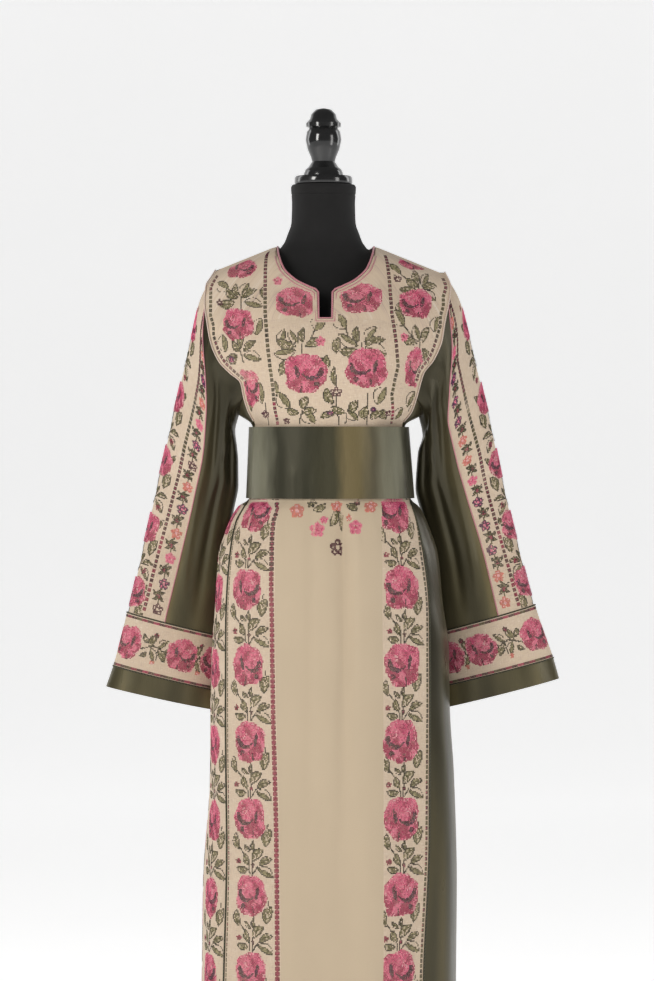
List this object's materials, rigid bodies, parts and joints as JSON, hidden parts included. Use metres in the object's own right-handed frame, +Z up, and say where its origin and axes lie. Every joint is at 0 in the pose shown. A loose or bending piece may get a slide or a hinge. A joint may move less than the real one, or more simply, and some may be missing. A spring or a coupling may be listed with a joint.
{
  "type": "palestinian thobe dress on a limbless dress form",
  "caption": "Long thobe dress with rose embroidered bands, wide satin sleeves and a satin belt, on a black limbless dress form with a turned neck cap",
  "frame": {"origin": "middle of the base's underside, on the floor", "axes": "+Z up along the form's axis, -Y the front of the dress, +X to the right of a viewer in front"},
  "size_m": [0.7336, 0.3474, 1.6724],
  "materials": {
    "linen": "woven linen-like cotton, embroidered in cross stitch",
    "crepe": "matte crepe",
    "satin": "satin with a soft sheen",
    "piping": "corded piping",
    "jersey": "matte stretch jersey",
    "lacquer": "gloss lacquered turned wood",
    "iron": "satin black paint"
  },
  "bodies": {
    "root": {"bodice_front": "linen", "bodice_back": "satin", "bodice_side_left": "satin", "bodice_side_right": "satin", "neck_piping": "piping", "armhole_piping_left": "piping", "armhole_piping_right": "piping", "belt_front": "satin", "belt_back": "satin", "skirt_centre_front": "crepe", "skirt_band_left": "linen", "skirt_band_right": "linen", "skirt_side_band_left": "linen", "skirt_side_right": "satin", "skirt_back": "satin", "sleeve_left_strip": "linen", "sleeve_left_front": "satin", "sleeve_left_back": "satin", "cuff_left_front": "linen", "cuff_left_back": "linen", "cuff_hem_left_front": "satin", "cuff_hem_left_back": "satin", "sleeve_right_strip": "linen", "sleeve_right_front": "satin", "sleeve_right_back": "satin", "cuff_right_front": "linen", "cuff_right_back": "linen", "cuff_hem_right_front": "satin", "cuff_hem_right_back": "satin", "form_torso": "jersey", "neck_cap": "lacquer", "pole": "iron", "base": "iron"}
  },
  "joints": []
}
